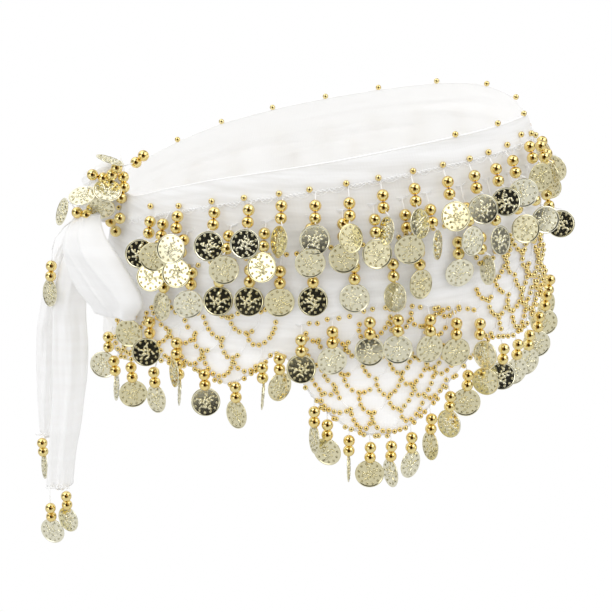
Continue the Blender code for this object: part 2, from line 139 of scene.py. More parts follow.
LAMPS = (  # name, place, size, power
    ("key_lamp", (-1.0, -0.7, 1.8), 0.9, 5.0),
    ("side_lamp", (1.2, -0.3, 1.1), 0.9, 2.0),
)
for lamp_name, lamp_place, lamp_size, lamp_power in LAMPS:
    lamp_data = bpy.data.lights.new(lamp_name, "AREA")
    lamp_data.size = lamp_size
    lamp_data.energy = lamp_power
    lamp = bpy.data.objects.new(lamp_name, lamp_data)
    lamp.location = lamp_place
    lamp.rotation_euler = (-Vector(lamp_place)).to_track_quat("-Z", "Y").to_euler()
    bpy.context.scene.collection.objects.link(lamp)

# The cloth: one long piece of thin white chiffon tied round the waist, hemmed at the rim and cut in
# tongues below. A place on it is an angle round the waist, 270 at the front and 180 at the knot, and a
# drop below the rim in millimetres.
MM = 0.001
WAIST_HALF_WIDTH = 146.0
WAIST_HALF_DEPTH = 102.0
FLARE_WIDTH = 21.0
FLARE_DEPTH = 22.0
FLARE_REACH = 55.0
BAND_DROP = 17.5
CLOTH_THICK = 0.5
CLOTH_COLUMNS = 400
CLOTH_ROWS = 88
RIM = (  # angle, height
    (0, 11), (20, 18), (40, 20), (60, 14), (90, 0), (120, -15), (150, -31), (180, -37),
    (205, -38), (225, -25), (245, -12), (270, 0), (295, 10), (320, 15), (340, 16),
)
HEM = (  # angle, length
    (0, 118), (14, 140), (30, 128), (45, 116), (58, 134), (72, 148), (85, 130), (98, 146), (112, 168),
    (126, 148), (140, 120), (155, 134), (170, 128), (185, 112), (200, 112), (215, 119), (230, 122),
    (240, 130), (247, 141), (254, 133), (260, 122), (268, 158), (276, 183), (284, 193), (292, 189),
    (299, 172), (306, 155), (313, 143), (321, 146), (330, 144), (340, 128), (350, 114),
)
FOLDS = (  # angle, drop, half span in degrees, half height, depth
    (214, 30, 26, 16, -2.2), (236, 6, 34, 14, 1.8), (292, 30, 26, 15, -1.6), (278, 88, 22, 14, 1.8),
    (330, 60, 20, 18, -1.8), (70, 40, 30, 18, 2.0), (110, 62, 26, 18, -1.8), (150, 24, 24, 16, 2.0),
)
CREASES = (  # angle, drop, half span in degrees, half height, depth, slant in mm for each degree
    (210, 6, 12, 2.0, 0.9, 0.25), (214, 12, 16, 2.4, -0.9, 0.18), (222, 4, 15, 1.8, 0.7, 0.10),
    (232, 9, 20, 2.6, -0.7, 0.06), (246, 6, 16, 2.0, 0.6, -0.03), (262, 11, 22, 2.4, 0.6, 0.05),
    (281, 7, 18, 2.0, -0.6, -0.05), (299, 10, 17, 2.2, 0.7, 0.06), (318, 8, 14, 2.0, -0.6, 0.08),
    (247, 47, 17, 3.0, 0.8, 0.10), (268, 52, 13, 2.6, -0.8, -0.08), (290, 58, 16, 3.0, 0.9, 0.10),
    (273, 80, 14, 2.6, 0.9, 0.06), (284, 90, 17, 3.0, -1.0, 0.08), (276, 97, 12, 2.4, 0.9, -0.05),
    (294, 84, 10, 2.4, 0.8, 0.12), (300, 95, 12, 2.6, -0.8, 0.10), (315, 52, 14, 3.0, 0.9, -0.15),
    (236, 74, 14, 2.8, -0.8, 0.12), (252, 92, 10, 2.8, 0.7, 0.10), (24, 12, 20, 2.4, 0.8, 0.06),
    (48, 22, 22, 3.0, -0.9, -0.05), (70, 34, 18, 2.6, 0.9, 0.08), (92, 14, 24, 2.8, -0.9, 0.05),
    (112, 30, 20, 3.0, 1.0, -0.10), (134, 44, 18, 3.0, -0.9, 0.12), (150, 16, 16, 2.6, 1.0, -0.18),
    (162, 34, 12, 2.8, -1.0, -0.22), (60, 62, 18, 3.2, 0.9, 0.10), (88, 76, 16, 3.0, -0.8, -0.06),
    (120, 84, 18, 3.2, 0.9, 0.10), (340, 30, 14, 2.6, 0.8, 0.12), (356, 50, 16, 3.0, -0.8, 0.10),
)
CREASE_LUCK = random.Random(23)
FINE_CREASE_COUNT = 260
FINE_CREASES = [  # short shallow wrinkles of the crepe, which run round the body between the rows
    (CREASE_LUCK.uniform(0.0, 360.0), CREASE_LUCK.uniform(6.0, 120.0), CREASE_LUCK.uniform(4.0, 13.0),
     CREASE_LUCK.uniform(0.8, 1.6), CREASE_LUCK.choice((-1.0, 1.0)) * CREASE_LUCK.uniform(0.25, 0.65),
     CREASE_LUCK.uniform(-0.25, 0.25))
    for _ in range(FINE_CREASE_COUNT)
]


def around(table, angle):
    """A smooth periodic curve through the rows (angle, value) of a table."""
    places = np.array([row[0] for row in table], float)
    values = np.array([row[1] for row in table], float)
    places = np.concatenate((places[-2:] - 360.0, places, places[:3] + 360.0))
    values = np.concatenate((values[-2:], values, values[:3]))
    angle = np.mod(angle, 360.0)
    at = np.searchsorted(places, angle, side="right") - 1
    a0, a1, a2, a3 = places[at - 1], places[at], places[at + 1], places[at + 2]
    v0, v1, v2, v3 = values[at - 1], values[at], values[at + 1], values[at + 2]
    span = a2 - a1
    t = (angle - a1) / span
    start = (v2 - v0) / (a2 - a0) * span
    end = (v3 - v1) / (a3 - a1) * span
    rise = t * t * (3.0 - 2.0 * t)
    return v1 + (v2 - v1) * rise + start * t * (1.0 - t) ** 2 - end * t * t * (1.0 - t)


def relief(angle, drop):
    """Drag folds, creases and the turned-in band at the rim, in millimetres out from the flared form."""
    depth = np.zeros(np.broadcast(angle, drop).shape)
    for middle, level, span, height, size in FOLDS:
        across = (np.mod(angle - middle + 180.0, 360.0) - 180.0) / span
        depth = depth + size * np.exp(-across ** 2 - ((drop - level) / height) ** 2)
    for middle, level, span, height, size, slant in (*CREASES, *FINE_CREASES):
        away = np.mod(angle - middle + 180.0, 360.0) - 180.0
        down = (drop - level - slant * away) / height
        depth = depth + size * np.exp(-(away / span) ** 2 - down ** 2)
    band = 1.0 / (1.0 + np.exp((drop - BAND_DROP) / 0.7))
    return depth * (1.25 - 0.65 * band) + 0.7 * band


def out_of(angle):
    """The level unit vector out of the cloth at an angle."""
    turn = np.radians(angle)
    out = np.stack((np.cos(turn) / WAIST_HALF_WIDTH, np.sin(turn) / WAIST_HALF_DEPTH,
                    np.zeros_like(turn)), axis=-1)
    return out / np.linalg.norm(out, axis=-1, keepdims=True)


def hem_drop(angle):
    return around(HEM, angle)


def on_cloth(angle, drop, out=0.0):
    """Points on the cloth, moved out; past the hem they hang straight down from it."""
    angle, drop = np.broadcast_arrays(np.asarray(angle, float), np.asarray(drop, float))
    held = np.clip(drop, 0.0, hem_drop(angle))
    turn = np.radians(angle)
    flare = 1.0 - np.exp(-held / FLARE_REACH)
    place = np.stack((
        (WAIST_HALF_WIDTH + FLARE_WIDTH * flare) * np.cos(turn),
        (WAIST_HALF_DEPTH + FLARE_DEPTH * flare) * np.sin(turn),
        around(RIM, angle) - drop,
    ), axis=-1)
    lift = np.asarray(out + relief(angle, held))[..., None]
    return (place + out_of(angle) * lift) * MM


def link_mesh(name, points, faces, materials):
    """A mesh object that rides on the scarf's one body."""
    mesh = bpy.data.meshes.new(name)
    mesh.from_pydata(points.tolist(), [], faces)
    mesh.update()
    mesh.shade_smooth()
    for material in materials:
        mesh.materials.append(material)
    piece = bpy.data.objects.new(name, mesh)
    bpy.context.scene.collection.objects.link(piece)
    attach(piece, "root")
    return piece


def shell(name, outer, inner, material, ring=False):
    """Closes two equal grids of points into one thin wall."""
    rows, columns = outer.shape[:2]
    size = rows * columns
    number = np.arange(size).reshape(rows, columns)
    if ring:
        number = np.concatenate((number, number[:, :1]), axis=1)
    a, b = number[:-1, :-1], number[:-1, 1:]
    c, d = number[1:, 1:], number[1:, :-1]
    quads = np.stack((a, b, c, d), axis=-1).reshape(-1, 4)
    faces = [quads[:, ::-1], quads + size]
    edges = [number[0], number[-1][::-1]]
    if not ring:
        edges += [number[:, 0][::-1], number[:, -1]]
    for edge in edges:
        faces.append(np.stack((edge[:-1], edge[1:], edge[1:] + size, edge[:-1] + size), axis=-1))
    points = np.concatenate((outer.reshape(-1, 3), inner.reshape(-1, 3)))
    return link_mesh(name, points, np.concatenate(faces).tolist(), [material])


def tube(route, radius, sides=5, closed=False):
    """Points and faces of a round thread along a route in metres; the radius is in millimetres."""
    route = np.asarray(route, float)
    if closed:
        ahead = np.roll(route, -1, axis=0) - np.roll(route, 1, axis=0)
    else:
        ahead = np.gradient(route, axis=0)
    ahead = ahead / (np.linalg.norm(ahead, axis=1, keepdims=True) + 1e-12)
    side = np.cross(ahead, np.array((0.31, 0.52, 0.79)))
    side = side / (np.linalg.norm(side, axis=1, keepdims=True) + 1e-12)
    over = np.cross(side, ahead)
    rings = []
    for k in range(sides):
        turn = 2.0 * math.pi * k / sides
        rings.append(route + radius * MM * (side * math.cos(turn) + over * math.sin(turn)))
    points = np.stack(rings, axis=1).reshape(-1, 3)
    faces = []
    for r in range(len(route) if closed else len(route) - 1):
        here = r * sides
        there = (r + 1) % len(route) * sides
        for k in range(sides):
            n = (k + 1) % sides
            faces.append((here + k, here + n, there + n, there + k))
    if not closed:
        faces.append(tuple(range(sides))[::-1])
        faces.append(tuple(range((len(route) - 1) * sides, len(route) * sides)))
    return points, faces


def sockets(group, inputs, outputs):
    for socket_name, kind, value in inputs:
        socket = group.interface.new_socket(socket_name, in_out="INPUT", socket_type=kind)
        socket.default_value = value
    for socket_name, kind in outputs:
        group.interface.new_socket(socket_name, in_out="OUTPUT", socket_type=kind)


# Crepe weave: two crossed sets of fine threads, broken by the crinkle of the yarn, and a painted shade of
# soft creases in level runs.
CRINKLE_SCALE = 420.0
THREAD_SHARE = 0.22
CREASE_SHADE_RUNS = (14.0, 14.0, 150.0)
weave_group = bpy.data.node_groups.new("crepe_weave", "ShaderNodeTree")
sockets(
    weave_group,
    (("Threads per metre", "NodeSocketFloat", 2600.0), ("Crinkle", "NodeSocketFloat", 0.5),
     ("Light", "NodeSocketColor", (0.9, 0.9, 0.9, 1.0)),
     ("Shade", "NodeSocketColor", (0.8, 0.8, 0.8, 1.0))),
    (("Color", "NodeSocketColor"), ("Height", "NodeSocketFloat")),
)
given = add_node(weave_group, "NodeGroupInput").outputs
spot = add_node(weave_group, "ShaderNodeTexCoord").outputs["Object"]
crinkle = add_node(weave_group, "ShaderNodeTexNoise", {"Vector": spot, "Scale": CRINKLE_SCALE, "Detail": 5.0})
threads = add_node(weave_group, "ShaderNodeVectorMath", {0: spot, "Scale": given["Threads per metre"]},
                   operation="SCALE")
along = add_node(weave_group, "ShaderNodeSeparateXYZ", {"Vector": threads.outputs["Vector"]}).outputs
level = add_node(weave_group, "ShaderNodeMath", {0: along["X"], 1: along["Y"]}, operation="ADD")
waves = [add_node(weave_group, "ShaderNodeMath", {0: source}, operation="SINE").outputs["Value"]
         for source in (level.outputs["Value"], along["Z"])]
crossed = add_node(weave_group, "ShaderNodeMath", {0: waves[0], 1: waves[1]}, operation="ADD")
crinkled = add_node(weave_group, "ShaderNodeMath", {0: crinkle.outputs["Fac"], 1: given["Crinkle"]},
                    operation="MULTIPLY")
woven = add_node(weave_group, "ShaderNodeMath", {
    0: crossed.outputs["Value"], 1: THREAD_SHARE, 2: crinkled.outputs["Value"],
}, operation="MULTIPLY_ADD")
# Painted shade of soft creases: stretched noise mixes the Shade colour into the Light one in level runs.
runs = add_node(weave_group, "ShaderNodeVectorMath", {0: spot, 1: CREASE_SHADE_RUNS}, operation="MULTIPLY")
crease_streaks = add_node(weave_group, "ShaderNodeTexNoise", {
    "Vector": runs.outputs["Vector"], "Scale": 1.0, "Detail": 4.0,
})
share = add_node(weave_group, "ShaderNodeMapRange", {
    "Value": crease_streaks.outputs["Fac"], "From Min": 0.35, "From Max": 0.62,
})
painted_crease_shade = add_node(weave_group, "ShaderNodeMix", {
    "Factor": share.outputs["Result"], "A": given["Shade"], "B": given["Light"],
}, data_type="RGBA")
add_node(weave_group, "NodeGroupOutput", {
    "Color": painted_crease_shade.outputs["Result"], "Height": woven.outputs["Value"],
})


def cloth_finish(name, light, shade, threads_per_metre, crinkle_share, bump, through=0.0):
    """Thin white cloth: matt, faintly lustrous, with its weave as relief and a painted crease shade in level
    runs; its emission is a painted glow that stands in for light coming through it.
    """
    material = bpy.data.materials.new(name)
    material.use_nodes = True
    tree = material.node_tree
    weave = add_node(tree, "ShaderNodeGroup", {
        "Threads per metre": threads_per_metre, "Crinkle": crinkle_share,
        "Light": (*light, 1.0), "Shade": (*shade, 1.0),
    }, node_tree=weave_group)
    raised = add_node(tree, "ShaderNodeBump", {
        "Strength": bump, "Distance": 0.0003, "Height": weave.outputs["Height"],
    })
    # The emission is a painted glow, even over the surface, standing in for light that comes through the
    # cloth.
    join(tree.nodes["Principled BSDF"], {
        "Base Color": weave.outputs["Color"], "Normal": raised.outputs["Normal"],
        "Roughness": 0.72, "Specular IOR Level": 0.25, "Sheen Weight": 0.25, "Sheen Roughness": 0.5,
        "Subsurface Weight": 0.4, "Subsurface Radius": (1.0, 1.0, 1.0), "Subsurface Scale": 0.003,
        "Emission Color": (*light, 1.0), "Emission Strength": through,
    })
    return material


CHIFFON_THREADS = 2600.0
CHIFFON_LIGHT = (0.94, 0.937, 0.932)
chiffon = cloth_finish("white_chiffon", CHIFFON_LIGHT, (0.80, 0.788, 0.765), CHIFFON_THREADS, 0.9, 0.10)
# The inside of the cloth and its rolled edges: the same chiffon with a lighter painted crease shade and a
# painted glow, so they read brighter than the outside.
painted_glow_chiffon = cloth_finish("white_chiffon_inside_painted_glow", CHIFFON_LIGHT, (0.91, 0.905, 0.898), CHIFFON_THREADS,
                      0.9, 0.10, 0.12)
# The knot and the bow: the same chiffon with a lighter painted crease shade and a faint painted glow.
painted_glow_bow_chiffon = cloth_finish("white_chiffon_bow_painted_glow", (0.94, 0.938, 0.935), (0.90, 0.897, 0.89), CHIFFON_THREADS,
                     0.7, 0.08, 0.07)

# Painted glow: the chiffon's emission grows towards its lower part, so the lower the chiffon hangs the
# brighter it comes out, standing in for light that comes through where less lies behind it.
PAINTED_GLOW_FROM, PAINTED_GLOW_TO = -0.08, -0.15
PAINTED_GLOW_LOW = 0.17
chiffon_tree = chiffon.node_tree
chiffon_spot = add_node(chiffon_tree, "ShaderNodeTexCoord").outputs["Object"]
chiffon_height = add_node(chiffon_tree, "ShaderNodeSeparateXYZ", {"Vector": chiffon_spot}).outputs["Z"]
painted_glow_below = add_node(chiffon_tree, "ShaderNodeMapRange", {
    "Value": chiffon_height, "From Min": PAINTED_GLOW_FROM, "From Max": PAINTED_GLOW_TO, "To Max": PAINTED_GLOW_LOW,
})
join(chiffon_tree.nodes["Principled BSDF"], {"Emission Strength": painted_glow_below.outputs["Result"]})

cloth_angles = np.arange(CLOTH_COLUMNS) * 360.0 / CLOTH_COLUMNS
cloth_drops = np.linspace(0.0, 1.0, CLOTH_ROWS)[:, None] * hem_drop(cloth_angles)[None, :]
cloth_grid = np.broadcast_to(cloth_angles, cloth_drops.shape)
cloth_outer = on_cloth(cloth_grid, cloth_drops)
cloth_inner = on_cloth(cloth_grid, cloth_drops, -CLOTH_THICK)
cloth = shell("cloth", cloth_outer, cloth_inner, chiffon, ring=True)
# The inside faces take the chiffon with the lighter painted shade and the painted glow.
cloth.data.materials.append(painted_glow_chiffon)
outer_faces = (CLOTH_ROWS - 1) * CLOTH_COLUMNS
inside_faces = np.zeros(len(cloth.data.polygons), np.int32)
inside_faces[outer_faces:2 * outer_faces] = 1
cloth.data.polygons.foreach_set("material_index", inside_faces)
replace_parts(cloth, "cloth_wrap")

# The rolled edges of that cloth: it is turned over twice and sewn down along the rim and round the
# tongues, which leaves a thin round edge.
# The rolls take the inside's painted glow, so that their shaded underside doesn't read as a dark line.
ROLL_INSET = 0.2
roll_angles = np.arange(0.0, 360.0, 0.45)
for roll_name, roll_drops, roll_radius in (
    ("rim_roll", np.full(roll_angles.shape, ROLL_INSET), 0.6),
    ("hem_roll", hem_drop(roll_angles) - ROLL_INSET, 0.55),
):
    roll_route = on_cloth(roll_angles, roll_drops, -CLOTH_THICK / 2.0)
    link_mesh(roll_name, *tube(roll_route, roll_radius, closed=True), [painted_glow_chiffon])

# The beads and coins: hollow gold-tone beads of two sizes and thin stamped coins of gold-tone plate. A strand
# is a cotton thread that runs down through two large beads and holds a coin by its top edge.
BEAD = 8.0
BEAD_PITCH = 7.7
SMALL_BEAD = 4.3
NET_BEAD = 3.6
COIN = 20.0
COIN_THICK = 0.5
COIN_SEGMENTS = 40
COIN_DOTS = 12
COIN_DIES = 6
COIN_DISH = 0.12
COIN_PROFILE = (  # share of the radius, height above the coin's face
    (0.5, 0.0), (0.87, 0.0), (0.90, 0.0), (0.92, 0.12), (0.955, 0.17), (0.985, 0.12), (1.0, 0.0),
)
DOT_RADIUS = 1.1
DOT_PLACE = 0.76
STROKE_RADIUS = 0.8
STROKE_STEPS = 6
THREAD_RADIUS = 0.45
FINE_THREAD_RADIUS = 0.4
COIN_TUCK = 1.2  # how far the coin's edge sits up inside the lower bead
COIN_LEANS = (-7.0, 1.0)
COIN_SPIN = 9.0
STITCH_OUT = 1.2
chance = random.Random(11)


def ball(radius, segments, rings):
    """Points and faces of a sphere, in metres."""
    points = [(0.0, 0.0, radius)]
    for r in range(1, rings):
        lean = math.pi * r / rings
        for s in range(segments):
            turn = 2.0 * math.pi * s / segments
            points.append((radius * math.sin(lean) * math.cos(turn),
                           radius * math.sin(lean) * math.sin(turn), radius * math.cos(lean)))
    points.append((0.0, 0.0, -radius))
    faces = []
    last = len(points) - 1
    for s in range(segments):
        n = (s + 1) % segments
        faces.append((0, 1 + s, 1 + n))
        for r in range(rings - 2):
            a = 1 + r * segments
            faces.append((a + s, a + segments + s, a + segments + n, a + n))
        faces.append((last, last - segments + n, last - segments + s))
    return np.array(points) * MM, faces


def stamped_coin(die):
    """Points and faces of a coin, in millimetres: x across, y through it, z up. A raised rim and a ring of
    dots stand round strokes that bend like petals and leaves; each die draws them in its own way."""
    radius = COIN / 2.0
    luck = random.Random(40 + die)
    turns = np.arange(COIN_SEGMENTS) * 2.0 * math.pi / COIN_SEGMENTS
    points = []
    faces = []
    count = 0

    def put(shape):
        nonlocal count
        points.append(shape[0])
        faces.extend(tuple(v + count for v in face) for face in shape[1])
        count += len(shape[0])

    edges = []
    for side in (-1.0, 1.0):
        rings = [np.array(((0.0, side * COIN_THICK / 2.0, 0.0),))]
        for share, rise in COIN_PROFILE:
            rings.append(np.stack((radius * share * np.cos(turns),
                                   np.full(COIN_SEGMENTS, side * (COIN_THICK / 2.0 + rise)),
                                   radius * share * np.sin(turns)), axis=-1))
        side_faces = []
        for s in range(COIN_SEGMENTS):
            n = (s + 1) % COIN_SEGMENTS
            side_faces.append((0, 1 + s, 1 + n))
            for r in range(len(COIN_PROFILE) - 1):
                low = 1 + r * COIN_SEGMENTS
                high = low + COIN_SEGMENTS
                side_faces.append((low + s, high + s, high + n, low + n))
        edges.append(count + 1 + (len(COIN_PROFILE) - 1) * COIN_SEGMENTS)
        if side > 0.0:
            side_faces = [face[::-1] for face in side_faces]
        put((np.concatenate(rings), side_faces))
        dome = ball(DOT_RADIUS, 6, 4)
        for dot in range(COIN_DOTS):
            turn = 2.0 * math.pi * (dot + 0.1 * die) / COIN_DOTS
            spot = np.array((DOT_PLACE * radius * math.cos(turn), side * (COIN_THICK / 2.0 - 0.25),
                             DOT_PLACE * radius * math.sin(turn)))
            put((dome[0] / MM * (1.0, 0.8, 1.0) + spot, dome[1]))
        strokes = [(0.0, 0.0, 1.5, 0.0, 2.0 * math.pi * 0.8, 0.0)]
        for petal in range(4):
            turn = 2.0 * math.pi * (petal + 0.17 * die) / 4.0
            strokes.append((2.9, turn, 1.6, turn + luck.uniform(0.5, 2.2), luck.uniform(2.2, 3.6), 0.4))
        for leaf in range(5):
            turn = 2.0 * math.pi * (leaf + 0.3 * die) / 5.0
            strokes.append((5.1, turn, 1.5, turn + luck.uniform(0.0, 3.1), luck.uniform(1.4, 3.2), 0.7))
        for out, turn, bow, begin, sweep, wave in strokes:
            run = np.linspace(0.0, 1.0, STROKE_STEPS)
            bend = begin + sweep * run
            route = np.stack((out * math.cos(turn) + bow * np.cos(bend) + wave * np.sin(5.0 * run),
                              np.full(STROKE_STEPS, side * COIN_THICK / 2.0),
                              out * math.sin(turn) + bow * np.sin(bend)), axis=-1)
            shape = tube(route * MM, STROKE_RADIUS, 4)
            put((shape[0] / MM, shape[1]))
    for s in range(COIN_SEGMENTS):
        n = (s + 1) % COIN_SEGMENTS
        faces.append((edges[0] + s, edges[1] + s, edges[1] + n, edges[0] + n))
    struck = np.concatenate(points)
    away = np.hypot(struck[:, 0], struck[:, 2]) / radius
    struck[:, 1] += COIN_DISH * (1.0 - away ** 2)
    return struck, faces


class Heap:
    """Collects small shapes into one mesh, each with a material and a tone of its own."""

    def __init__(self, *materials):
        self.materials = materials
        self.points = []
        self.faces = []
        self.slots = []
        self.tones = []
        self.count = 0

    def add(self, shape, place=0.0, slot=0, tone=0.5):
        points, faces = shape
        self.points.append(points + place)
        self.faces.extend(tuple(v + self.count for v in face) for face in faces)
        self.slots.extend([slot] * len(faces))
        self.tones.append(np.full(len(points), tone))
        self.count += len(points)

    def piece(self, name, slot_name):
        made = link_mesh(name, np.concatenate(self.points), self.faces, self.materials)
        made.data.polygons.foreach_set("material_index", self.slots)
        tone = made.data.attributes.new("tone", "FLOAT", "POINT")
        tone.data.foreach_set("value", np.concatenate(self.tones))
        return made


# Where the painted reflection darkens the beads: dark at the middle, clear between, dark again at the rim.
PAINTED_HEART_STOP = 0.04
CLEAR_STOPS = (0.10, 0.50)
PAINTED_BRIM_STOP = 0.86
SMEAR_SCALE = 900.0


def metal_finish(name, deep, pale, rough, spread, grain, heart_painted_reflection=None, brim_painted_reflection=None):
    """Gold-tone plate, a little uneven in tone and polish. On beads a painted reflection darkens the colour
    towards the rim, for the neighbours they would mirror, and at the very middle, for the dark round the
    camera that they would mirror."""
    material = bpy.data.materials.new(name)
    material.use_nodes = True
    tree = material.node_tree
    tone = add_node(tree, "ShaderNodeAttribute", attribute_name="tone")
    colour = add_node(tree, "ShaderNodeMix", {
        "Factor": tone.outputs["Fac"], "A": (*deep, 1.0), "B": (*pale, 1.0),
    }, data_type="RGBA").outputs["Result"]
    # Painted reflection: the colour is darkened by how far the surface faces away from the camera.
    if heart_painted_reflection is not None:
        turned = add_node(tree, "ShaderNodeLayerWeight", {"Blend": 0.5})
        painted_reflection_ramp = add_node(tree, "ShaderNodeValToRGB", {"Fac": turned.outputs["Facing"]})
        stops = painted_reflection_ramp.color_ramp.elements
        for stop, position, shade in ((stops[0], PAINTED_HEART_STOP, heart_painted_reflection), (stops[1], PAINTED_BRIM_STOP, brim_painted_reflection)):
            stop.position = position
            stop.color = (*shade, 1.0)
        for position in CLEAR_STOPS:
            stops.new(position).color = WHITE
        colour = add_node(tree, "ShaderNodeMix", {
            "Factor": 1.0, "A": colour, "B": painted_reflection_ramp.outputs["Color"],
        }, data_type="RGBA", blend_type="MULTIPLY").outputs["Result"]
    place = add_node(tree, "ShaderNodeTexCoord").outputs["Object"]
    noise = add_node(tree, "ShaderNodeTexNoise", {"Vector": place, "Scale": SMEAR_SCALE, "Detail": 3.0})
    smear = noise.outputs["Fac"]
    polish = add_node(tree, "ShaderNodeMapRange", {"Value": smear, "To Min": rough, "To Max": rough + spread})
    dents = add_node(tree, "ShaderNodeBump", {"Strength": grain, "Distance": 0.0002, "Height": smear})
    join(tree.nodes["Principled BSDF"], {
        "Base Color": colour, "Metallic": 1.0, "Roughness": polish.outputs["Result"],
        "Normal": dents.outputs["Normal"],
    })
    return material


# The last two colours of the bead finishes are the painted reflection at the middle and at the rim.
bead_gold = metal_finish("bead_gold", (1.0, 0.78, 0.29), (1.0, 0.88, 0.44), 0.06, 0.06, 0.02,
                         (0.24, 0.15, 0.06), (0.72, 0.44, 0.12))
small_gold = metal_finish("small_bead_gold", (1.0, 0.79, 0.30), (1.0, 0.89, 0.48), 0.10, 0.06, 0.02,
                          (0.18, 0.11, 0.03), (0.85, 0.54, 0.14))
coin_gold = metal_finish("coin_gold", (0.86, 0.79, 0.50), (0.98, 0.95, 0.76), 0.08, 0.07, 0.05)
# The cotton thread: a painted crease shade and a faint painted glow, so that the thin threads read white
# instead of shaded grey.
cotton = cloth_finish("crochet_cotton", (0.96, 0.96, 0.955), (0.93, 0.93, 0.925), 5200.0, 0.8, 0.06, 0.10)

large_ball = ball(BEAD / 2.0, 20, 12)
small_ball = ball(SMALL_BEAD / 2.0, 8, 6)
dies = [stamped_coin(die) for die in range(COIN_DIES)]


def add_large_bead(gold, place):
    gold.add(large_ball, place, 0, chance.uniform(0.2, 0.8))


def add_small_bead(heap, place, size=1.0):
    heap.add((small_ball[0] * size, small_ball[1]), place, len(heap.materials) - 1, chance.uniform(0.1, 0.9))


def add_coin(gold, die, middle, wide, deep, up, tone):
    points, faces = dies[die]
    struck = (points[:, :1] * wide + points[:, 1:2] * deep + points[:, 2:] * up) * MM
    gold.add((struck, faces), middle, 1, tone)


def empty_heaps():
    return Heap(bead_gold, coin_gold, small_gold), Heap(cotton)


def hang(gold, thread, surface, outward, place, start, drop, turn, outs, lean=None):
    """One strand on a surface: thread from its row down through two beads to a turned coin. The lean is how
    far the coin's top tips out, in degrees, and is left to chance where none is given."""
    first_out, second_out, coin_out, coin_swing = outs
    along = np.array((-outward[1], outward[0], 0.0))
    swing = math.radians(turn)
    coin_out = coin_out + coin_swing * abs(math.sin(swing))
    coin_top = drop + BEAD_PITCH + BEAD / 2.0 - COIN_TUCK
    root = surface(place, start) + outward * STITCH_OUT * MM
    first = surface(place, drop) + outward * first_out * MM
    second = surface(place, drop + BEAD_PITCH) + outward * second_out * MM
    middle = surface(place, coin_top + COIN / 2.0) + outward * coin_out * MM
    low = surface(place, coin_top + COIN) + outward * coin_out * MM
    for bead in (first, second):
        add_large_bead(gold, bead)
    up = middle - low
    up = up / np.linalg.norm(up)
    wide = along * math.cos(swing) + outward * math.sin(swing)
    deep = np.cross(wide, up)
    deep = deep / np.linalg.norm(deep)
    tilt = math.radians(chance.uniform(*COIN_LEANS) if lean is None else lean)
    up = up * math.cos(tilt) + deep * math.sin(tilt)
    deep = np.cross(wide, up)
    spin = math.radians(chance.uniform(-COIN_SPIN, COIN_SPIN))
    wide = wide * math.cos(spin) + up * math.sin(spin)
    up = np.cross(deep, wide)
    die = chance.randrange(COIN_DIES)
    flip = chance.choice((-1.0, 1.0))
    add_coin(gold, die, middle, wide * flip, deep * flip, up, chance.random() ** 1.3)
    top = middle + up * (COIN / 2.0 - 0.2) * MM
    sag = np.array((0.0, 0.0, 0.5 * MM))
    thread.add(tube((root, (root + first) / 2.0 - sag, first), THREAD_RADIUS))
    thread.add(tube((second, (second + top) / 2.0, top + up * 0.8 * MM), FINE_THREAD_RADIUS))


def crochet(thread, angles, drops, out, radius=0.34):
    """A crocheted chain along a line on the cloth: two threads that cross in small loops."""
    steps = np.arange(len(angles)) * 1.15
    for phase in (0.0, math.pi):
        wave = 0.9 * np.sin(steps + phase)
        lift = 0.4 * np.cos(steps + phase)
        thread.add(tube(on_cloth(angles, drops + wave, out + lift), radius, 4))


def row_of_strands(name, strands, line, outs, tape_out, lace=False, sewn=True):
    """One row round the cloth: strands from a crocheted line, or each from a few tacking stitches, with
    small beads sewn on between them where it has any."""
    gold, thread = empty_heaps()
    if lace:
        angles = np.arange(strands[0][0] - 1.0, strands[-1][0] + 1.0, 0.42)
        crochet(thread, angles, line(angles), tape_out)
    else:
        for angle, *_ in strands:
            for slant in (-0.5, 0.4, 1.1):
                stitch = angle + np.array((-1.3, 0.1, 1.5)) + 0.4 * slant
                stitch_drop = line(stitch) + slant * np.array((1.4, 0.2, -1.2))
                thread.add(tube(on_cloth(stitch, stitch_drop, 0.5), 0.3, 4))
    for angle, drop, turn, *lean in strands:
        hang(gold, thread, on_cloth, out_of(angle), angle, line(angle), drop, turn, outs, *lean)
    if sewn:
        for here, there in zip(strands, strands[1:]):
            for share in (0.2, 0.5, 0.8):
                angle = here[0] + (there[0] - here[0]) * (share + chance.uniform(-0.1, 0.1))
                dip = chance.uniform(-0.6, 1.6)
                sewn_place = on_cloth(angle, line(angle) + dip, tape_out + 1.0)
                add_small_bead(gold, sewn_place, NET_BEAD / SMALL_BEAD)
    gold_piece = gold.piece(name + "_beads_and_coins", "gold_trim")
    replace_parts(gold_piece, name)
    thread.piece(name + "_crochet_line", "white_thread")


# The waist row: strands from the crocheted line that holds the turned-in band. They stand out over the folds
# below it, and their coins are turned and tipped as they happen to hang.
WAIST_LINE = 17.0
WAIST_OUTS = (7.6, 8.4, 11.4, 3.5)  # how far out the two beads and the coin hang, and a turned coin more
WAIST_ROW = (  # angle, drop of the upper bead, turn of the coin, lean of the coin
    (222, 20, -45, -7), (227, 23, -28, 5), (232, 19, -15, -4), (243, 20, -24, -7), (252, 21, -17, -7),
    (260, 21, 52), (268, 24, -2, 5), (276, 26, -34), (284, 25, 76), (292, 25, -33), (301, 25, 50, -7),
    (309, 25, 25, -1), (316.5, 24, 44, -5), (323.5, 22, 46, 3), (333, 17, 24), (342, 20, -40),
    (351, 27, 10),
)
row_of_strands("waist_strands", WAIST_ROW, lambda angle: WAIST_LINE + 0.0 * angle, WAIST_OUTS, 0.4,
               lace=True, sewn=False)

